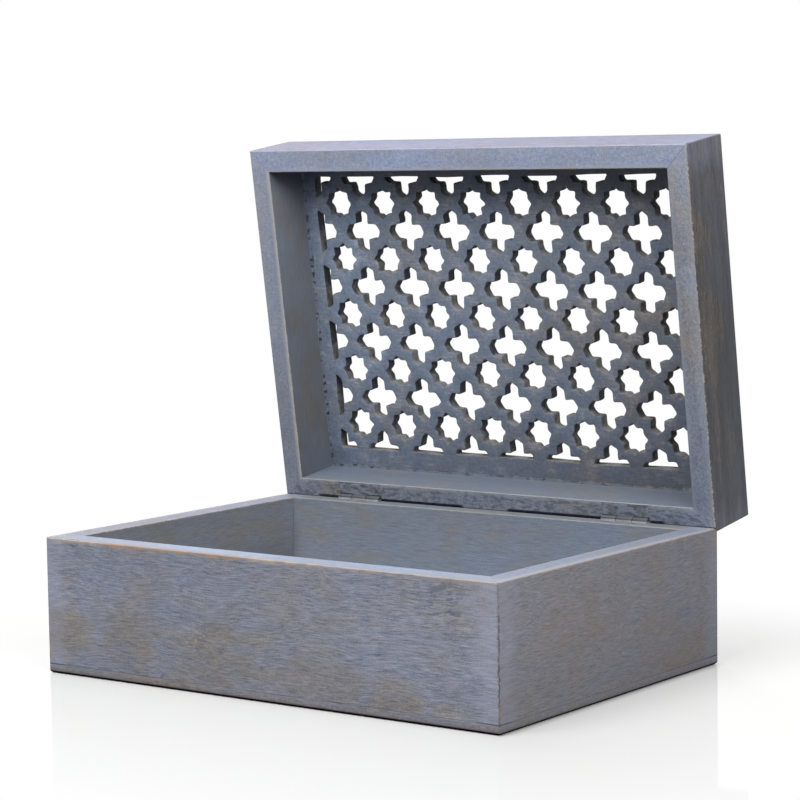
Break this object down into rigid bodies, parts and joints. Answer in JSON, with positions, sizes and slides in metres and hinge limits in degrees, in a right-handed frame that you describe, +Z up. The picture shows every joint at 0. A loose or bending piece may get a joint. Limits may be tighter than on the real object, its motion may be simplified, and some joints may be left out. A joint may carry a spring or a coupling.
{
  "type": "keepsake box",
  "caption": "Small mitred wooden box with a hinged lid whose top is a pierced lattice of stars and crosses; it holds keepsakes and stands open or shut on its flat underside.",
  "frame": {"origin": "middle of the underside of the base, on the surface that the box stands on", "axes": "+X to the right seen from the front, +Y to the back where the hinges are, +Z up; the lid stands open"},
  "size_m": [0.25, 0.2083, 0.2421],
  "materials": {
    "wall_wood": "washed grey-blue paint over straight-grained wood, rubbed back at the edges",
    "lid_wood": "washed grey-blue paint over straight-grained wood, rubbed back at the edges",
    "bottom_wood": "washed grey-blue paint on thin board",
    "lattice_wood": "darker washed paint on a fretted panel, brown where it is thin",
    "hinge_brass": "dull brass",
    "screw_steel": "dull plated steel",
    "brad_steel": "plain wire"
  },
  "bodies": {
    "base": {"front_wall": "wall_wood", "back_wall": "wall_wood", "left_wall": "wall_wood", "right_wall": "wall_wood", "bottom_board": "bottom_wood", "wall_corner_brads": "brad_steel", "bottom_board_brads": "brad_steel", "left_hinge_pin": "hinge_brass", "left_hinge_lower_leaf": "hinge_brass", "left_lower_leaf_screws": "screw_steel", "right_hinge_pin": "hinge_brass", "right_hinge_lower_leaf": "hinge_brass", "right_lower_leaf_screws": "screw_steel"},
    "lid": {"lid_front_rail": "lid_wood", "lid_back_rail": "lid_wood", "lid_left_rail": "lid_wood", "lid_right_rail": "lid_wood", "lattice_panel": "lattice_wood", "rail_corner_brads": "brad_steel", "lattice_panel_brads": "brad_steel", "left_hinge_upper_leaf": "hinge_brass", "left_upper_leaf_screws": "screw_steel", "right_hinge_upper_leaf": "hinge_brass", "right_upper_leaf_screws": "screw_steel"}
  },
  "joints": [
    {"name": "lid_hinge", "type": "hinge", "parent": "base", "child": "lid", "pos_m": [0, 0.08685, 0.0633], "axis": [1, 0, 0], "range_deg": [0, 82]}
  ]
}
